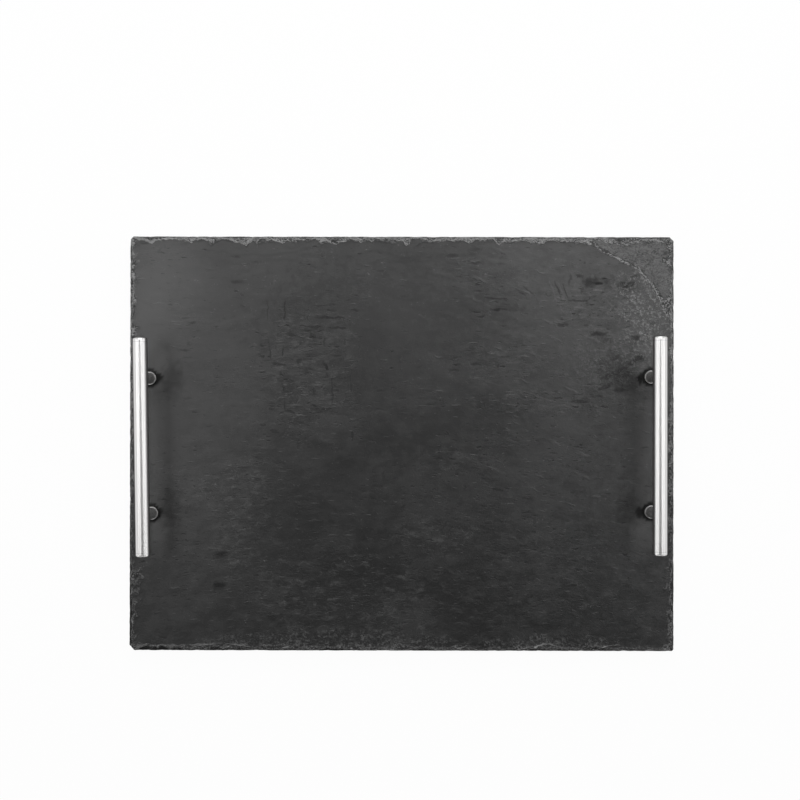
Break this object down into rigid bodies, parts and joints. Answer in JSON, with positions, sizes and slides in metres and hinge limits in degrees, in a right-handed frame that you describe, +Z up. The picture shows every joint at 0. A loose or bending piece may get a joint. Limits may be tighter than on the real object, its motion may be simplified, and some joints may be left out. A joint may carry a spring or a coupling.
{
  "type": "slate serving board",
  "caption": "Flat rectangular slate serving board with hewn edges, a raised steel bar handle along each short side and low rubber feet.",
  "frame": {"origin": "on the table plane under the feet, at the middle of the board's length and width", "axes": "+X along the long side towards the right handle, +Y towards the rear edge, +Z up from the table"},
  "size_m": [0.39, 0.297, 0.045],
  "materials": {
    "slate": "riven, matt",
    "bar_steel": "satin, brushed along the bar",
    "plated_steel": "zinc plated, dull",
    "seat_rubber": "matt black",
    "foot_rubber": "matt black"
  },
  "bodies": {
    "root": {"slate_board": "slate", "left_bar_tube": "bar_steel", "right_bar_tube": "bar_steel", "left_rear_end_cap": "bar_steel", "left_front_end_cap": "bar_steel", "right_rear_end_cap": "bar_steel", "right_front_end_cap": "bar_steel", "left_rear_post": "bar_steel", "left_front_post": "bar_steel", "right_rear_post": "bar_steel", "right_front_post": "bar_steel", "left_rear_bar_slug": "plated_steel", "left_front_bar_slug": "plated_steel", "right_rear_bar_slug": "plated_steel", "right_front_bar_slug": "plated_steel", "left_rear_stud": "plated_steel", "left_front_stud": "plated_steel", "right_rear_stud": "plated_steel", "right_front_stud": "plated_steel", "left_rear_seat_washer": "seat_rubber", "left_front_seat_washer": "seat_rubber", "right_rear_seat_washer": "seat_rubber", "right_front_seat_washer": "seat_rubber", "left_rear_base_screw": "plated_steel", "left_front_base_screw": "plated_steel", "right_rear_base_screw": "plated_steel", "right_front_base_screw": "plated_steel", "left_rear_screw_washer": "plated_steel", "left_front_screw_washer": "plated_steel", "right_rear_screw_washer": "plated_steel", "right_front_screw_washer": "plated_steel", "left_rear_foot": "foot_rubber", "left_front_foot": "foot_rubber", "right_rear_foot": "foot_rubber", "right_front_foot": "foot_rubber"}
  },
  "joints": []
}
